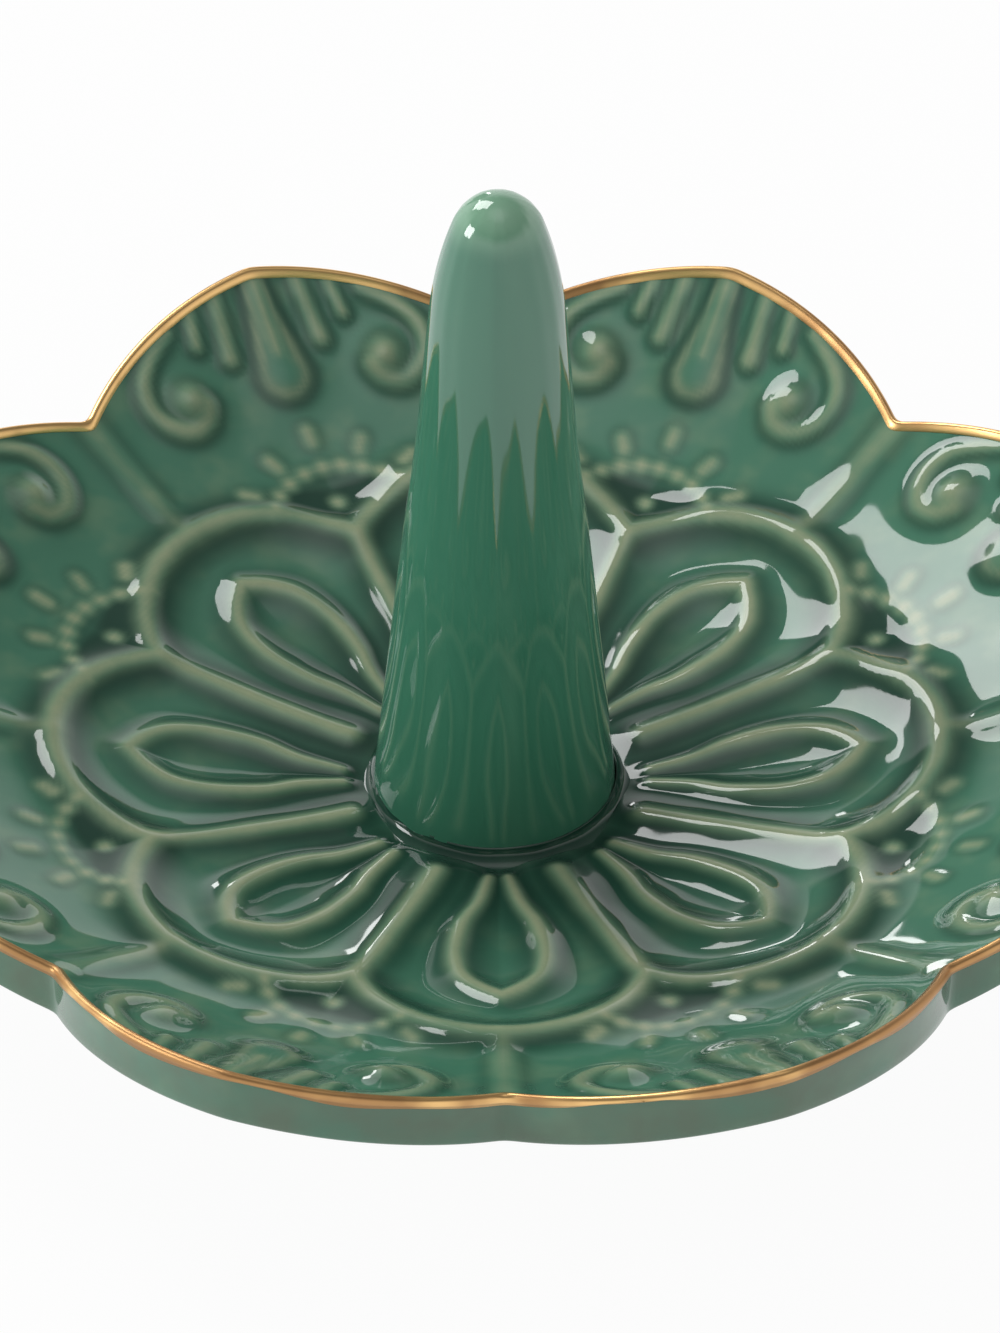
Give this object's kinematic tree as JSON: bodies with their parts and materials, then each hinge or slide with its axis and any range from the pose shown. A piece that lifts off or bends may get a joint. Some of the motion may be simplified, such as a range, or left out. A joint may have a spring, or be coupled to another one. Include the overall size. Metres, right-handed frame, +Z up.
{
  "type": "ring dish",
  "caption": "Lobed glazed ceramic ring dish with a lotus in relief, an upright tapered cone that holds rings and a gold lustre band along its rim.",
  "frame": {"origin": "on the table, at the centre of the foot ring, under the cone", "axes": "+Z up along the cone, -Y towards the viewer of the picture, +X to the right; a petal tip and a rim valley point along each of +X, +Y, -X and -Y"},
  "size_m": [0.0972, 0.0972, 0.0611],
  "materials": {
    "green_glaze": "glossy translucent green glaze, pooled dark in the recesses and thin and pale on the ridges",
    "cone_glaze": "glossy translucent green glaze, even",
    "pooled_glaze": "glossy dark green glaze pooled in a fillet",
    "gold_lustre": "thin brushed-on gold lustre, slightly uneven"
  },
  "bodies": {
    "root": {"dish": "green_glaze", "ring_cone": "cone_glaze", "cone_seam": "pooled_glaze", "gold_rim": "gold_lustre"}
  },
  "joints": []
}
